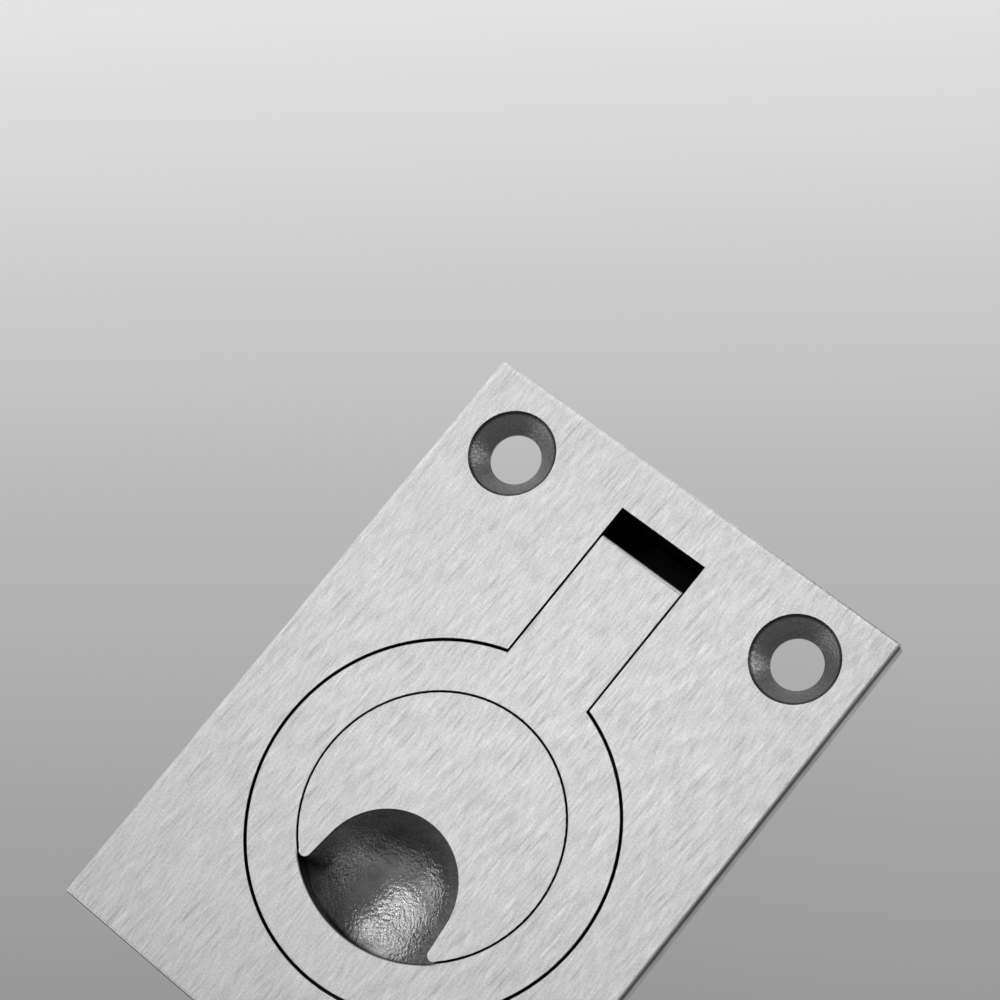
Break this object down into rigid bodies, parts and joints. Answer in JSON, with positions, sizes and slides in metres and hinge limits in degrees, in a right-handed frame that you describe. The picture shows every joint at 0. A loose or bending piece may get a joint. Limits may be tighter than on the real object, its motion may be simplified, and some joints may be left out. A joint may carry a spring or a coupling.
{
  "type": "flush ring pull",
  "caption": "Flush ring pull: rectangular plate let into a door, with a hinged ring that lies level in a keyhole recess beside a finger bowl.",
  "frame": {"origin": "under the middle of the plate's outline, at the back of the housing", "axes": "+Z out of the face, +Y along the plate towards the hinge and the screw holes, +X across it"},
  "size_m": [0.048, 0.065, 0.009],
  "materials": {
    "plate_metal": "brushed along its length on the face, dark as cast in the recesses and behind",
    "ring_metal": "brushed along its length on the face, as cast underneath",
    "pin_steel": "ground",
    "spring_steel": "rolled strip",
    "rivet_steel": "plain"
  },
  "bodies": {
    "housing": {"body": "plate_metal", "hinge_pin": "pin_steel", "drag_spring": "spring_steel", "spring_rivets": "rivet_steel"},
    "ring": {"ring_handle": "ring_metal"}
  },
  "joints": [
    {"name": "ring_hinge", "type": "hinge", "parent": "housing", "child": "ring", "pos_m": [0, 0.0224, 0.0055], "axis": [-1, 0, 0], "range_deg": [0, 110]}
  ]
}
